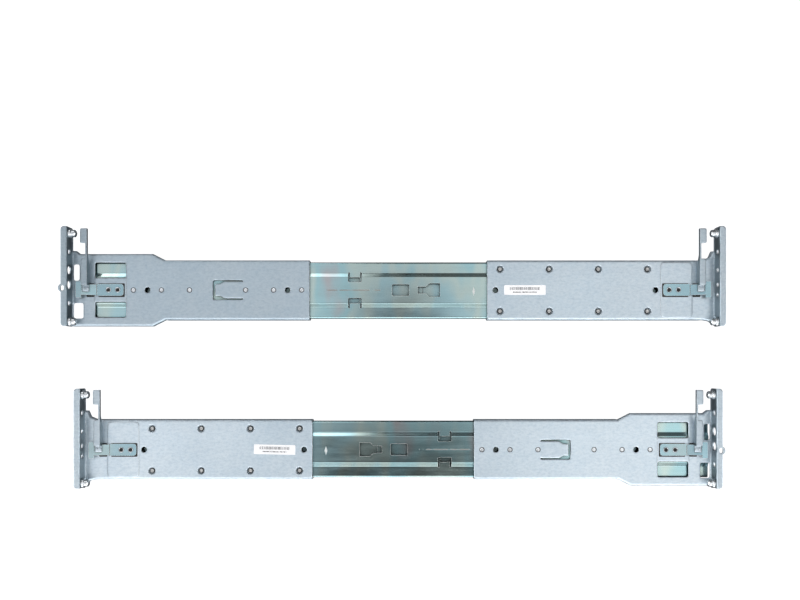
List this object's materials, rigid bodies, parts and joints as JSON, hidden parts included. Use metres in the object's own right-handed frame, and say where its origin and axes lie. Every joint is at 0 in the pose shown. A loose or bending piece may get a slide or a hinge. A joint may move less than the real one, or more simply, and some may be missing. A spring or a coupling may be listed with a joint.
{
  "type": "sliding server rail pair",
  "caption": "Pair of ball-bearing slide rails that carry a server in a rack, with flanged brackets, post pins, sprung latches and release levers at both ends.",
  "frame": {"origin": "centre of the pair's bounding box, on the floor under the inner members' server faces", "axes": "+X along the rails, the left rail's front at +X; +Y towards the left rail, the way the post flanges reach up the rack; +Z towards the rack posts' side, the picture's viewer"},
  "size_m": [0.5728, 0.2255, 0.0274],
  "materials": {
    "galvanised_steel": "satin galvanised sheet",
    "zinc_plated": "bright zinc plate with a faint iridescent film",
    "spring_zinc": "zinc plated spring steel",
    "bright_zinc": "bright zinc plated turned steel",
    "bearing_steel": "polished",
    "rubber": "matt black"
  },
  "bodies": {
    "rails": {"left_outer_member": "zinc_plated", "left_front_bracket": "galvanised_steel", "left_front_bracket_rivets": "bright_zinc", "left_front_post_pins": "bright_zinc", "left_front_latch_foot": "spring_zinc", "left_front_latch_foot_rivets": "bright_zinc", "left_rear_bumper": "rubber", "right_outer_member": "zinc_plated", "right_front_bracket": "galvanised_steel", "right_front_bracket_rivets": "bright_zinc", "right_front_post_pins": "bright_zinc", "right_front_latch_foot": "spring_zinc", "right_front_latch_foot_rivets": "bright_zinc", "right_rear_bumper": "rubber"},
    "left_rear_end": {"left_rear_bracket": "galvanised_steel", "left_rear_glide_studs": "bright_zinc", "left_rear_post_pins": "bright_zinc", "left_rear_latch_foot": "spring_zinc", "left_rear_latch_foot_rivets": "bright_zinc"},
    "left_front_latch": {"left_front_latch_arm": "spring_zinc", "left_front_release_lever": "galvanised_steel"},
    "left_rear_latch": {"left_rear_latch_arm": "spring_zinc", "left_rear_release_lever": "galvanised_steel"},
    "left_outer_cage": {"left_outer_ball_cage": "zinc_plated", "left_outer_balls": "bearing_steel"},
    "left_middle": {"left_middle_member": "zinc_plated"},
    "left_inner_cage": {"left_inner_ball_cage": "zinc_plated", "left_inner_balls": "bearing_steel"},
    "left_inner": {"left_inner_member": "zinc_plated", "left_inner_latch_rivet": "bright_zinc"},
    "left_server_release": {"left_inner_latch": "zinc_plated"},
    "right_rear_end": {"right_rear_bracket": "galvanised_steel", "right_rear_glide_studs": "bright_zinc", "right_rear_post_pins": "bright_zinc", "right_rear_latch_foot": "spring_zinc", "right_rear_latch_foot_rivets": "bright_zinc"},
    "right_front_latch": {"right_front_latch_arm": "spring_zinc", "right_front_release_lever": "galvanised_steel"},
    "right_rear_latch": {"right_rear_latch_arm": "spring_zinc", "right_rear_release_lever": "galvanised_steel"},
    "right_outer_cage": {"right_outer_ball_cage": "zinc_plated", "right_outer_balls": "bearing_steel"},
    "right_middle": {"right_middle_member": "zinc_plated"},
    "right_inner_cage": {"right_inner_ball_cage": "zinc_plated", "right_inner_balls": "bearing_steel"},
    "right_inner": {"right_inner_member": "zinc_plated", "right_inner_latch_rivet": "bright_zinc"},
    "right_server_release": {"right_inner_latch": "zinc_plated"}
  },
  "joints": [
    {"name": "left_slide_out", "type": "slide", "parent": "rails", "child": "left_middle", "axis": [1, 0, 0], "range_m": [0, 0.3]},
    {"name": "left_outer_cage_roll", "type": "slide", "parent": "rails", "child": "left_outer_cage", "axis": [1, 0, 0], "range_m": [0, 0.15]},
    {"name": "left_server_slide", "type": "slide", "parent": "left_middle", "child": "left_inner", "axis": [1, 0, 0], "range_m": [0, 0.3]},
    {"name": "left_inner_cage_roll", "type": "slide", "parent": "left_middle", "child": "left_inner_cage", "axis": [1, 0, 0], "range_m": [0, 0.15]},
    {"name": "left_server_release", "type": "hinge", "parent": "left_inner", "child": "left_server_release", "pos_m": [0.2114, 0.05905, 0.002], "axis": [0, 0, 1], "range_deg": [-6, 6], "stiffness_Nm_per_rad": 0.05},
    {"name": "left_depth_adjust", "type": "slide", "parent": "rails", "child": "left_rear_end", "axis": [-1, 0, 0], "range_m": [-0.0145, 0.12]},
    {"name": "left_front_latch_press", "type": "hinge", "parent": "rails", "child": "left_front_latch", "pos_m": [0.2599, 0.05905, 0.0142], "axis": [0, 1, 0], "range_deg": [0, 11], "stiffness_Nm_per_rad": 0.6},
    {"name": "left_rear_latch_press", "type": "hinge", "parent": "left_rear_end", "child": "left_rear_latch", "pos_m": [-0.2576, 0.05905, 0.0142], "axis": [0, -1, 0], "range_deg": [0, 11], "stiffness_Nm_per_rad": 0.6},
    {"name": "right_slide_out", "type": "slide", "parent": "rails", "child": "right_middle", "axis": [-1, 0, 0], "range_m": [0, 0.3]},
    {"name": "right_outer_cage_roll", "type": "slide", "parent": "rails", "child": "right_outer_cage", "axis": [-1, 0, 0], "range_m": [0, 0.15]},
    {"name": "right_server_slide", "type": "slide", "parent": "right_middle", "child": "right_inner", "axis": [-1, 0, 0], "range_m": [0, 0.3]},
    {"name": "right_inner_cage_roll", "type": "slide", "parent": "right_middle", "child": "right_inner_cage", "axis": [-1, 0, 0], "range_m": [0, 0.15]},
    {"name": "right_server_release", "type": "hinge", "parent": "right_inner", "child": "right_server_release", "pos_m": [-0.19795, -0.08045, 0.002], "axis": [0, 0, 1], "range_deg": [-6, 6], "stiffness_Nm_per_rad": 0.05},
    {"name": "right_depth_adjust", "type": "slide", "parent": "rails", "child": "right_rear_end", "axis": [1, 0, 0], "range_m": [-0.0005, 0.134]},
    {"name": "right_front_latch_press", "type": "hinge", "parent": "rails", "child": "right_front_latch", "pos_m": [-0.24645, -0.08045, 0.0142], "axis": [0, -1, 0], "range_deg": [0, 11], "stiffness_Nm_per_rad": 0.6},
    {"name": "right_rear_latch_press", "type": "hinge", "parent": "right_rear_end", "child": "right_rear_latch", "pos_m": [0.25705, -0.08045, 0.0142], "axis": [0, 1, 0], "range_deg": [0, 11], "stiffness_Nm_per_rad": 0.6}
  ],
  "couplings": [
    {"joint": "left_outer_cage_roll", "follows": "left_slide_out", "ratio": 0.5},
    {"joint": "left_inner_cage_roll", "follows": "left_server_slide", "ratio": 0.5},
    {"joint": "right_outer_cage_roll", "follows": "right_slide_out", "ratio": 0.5},
    {"joint": "right_inner_cage_roll", "follows": "right_server_slide", "ratio": 0.5}
  ]
}
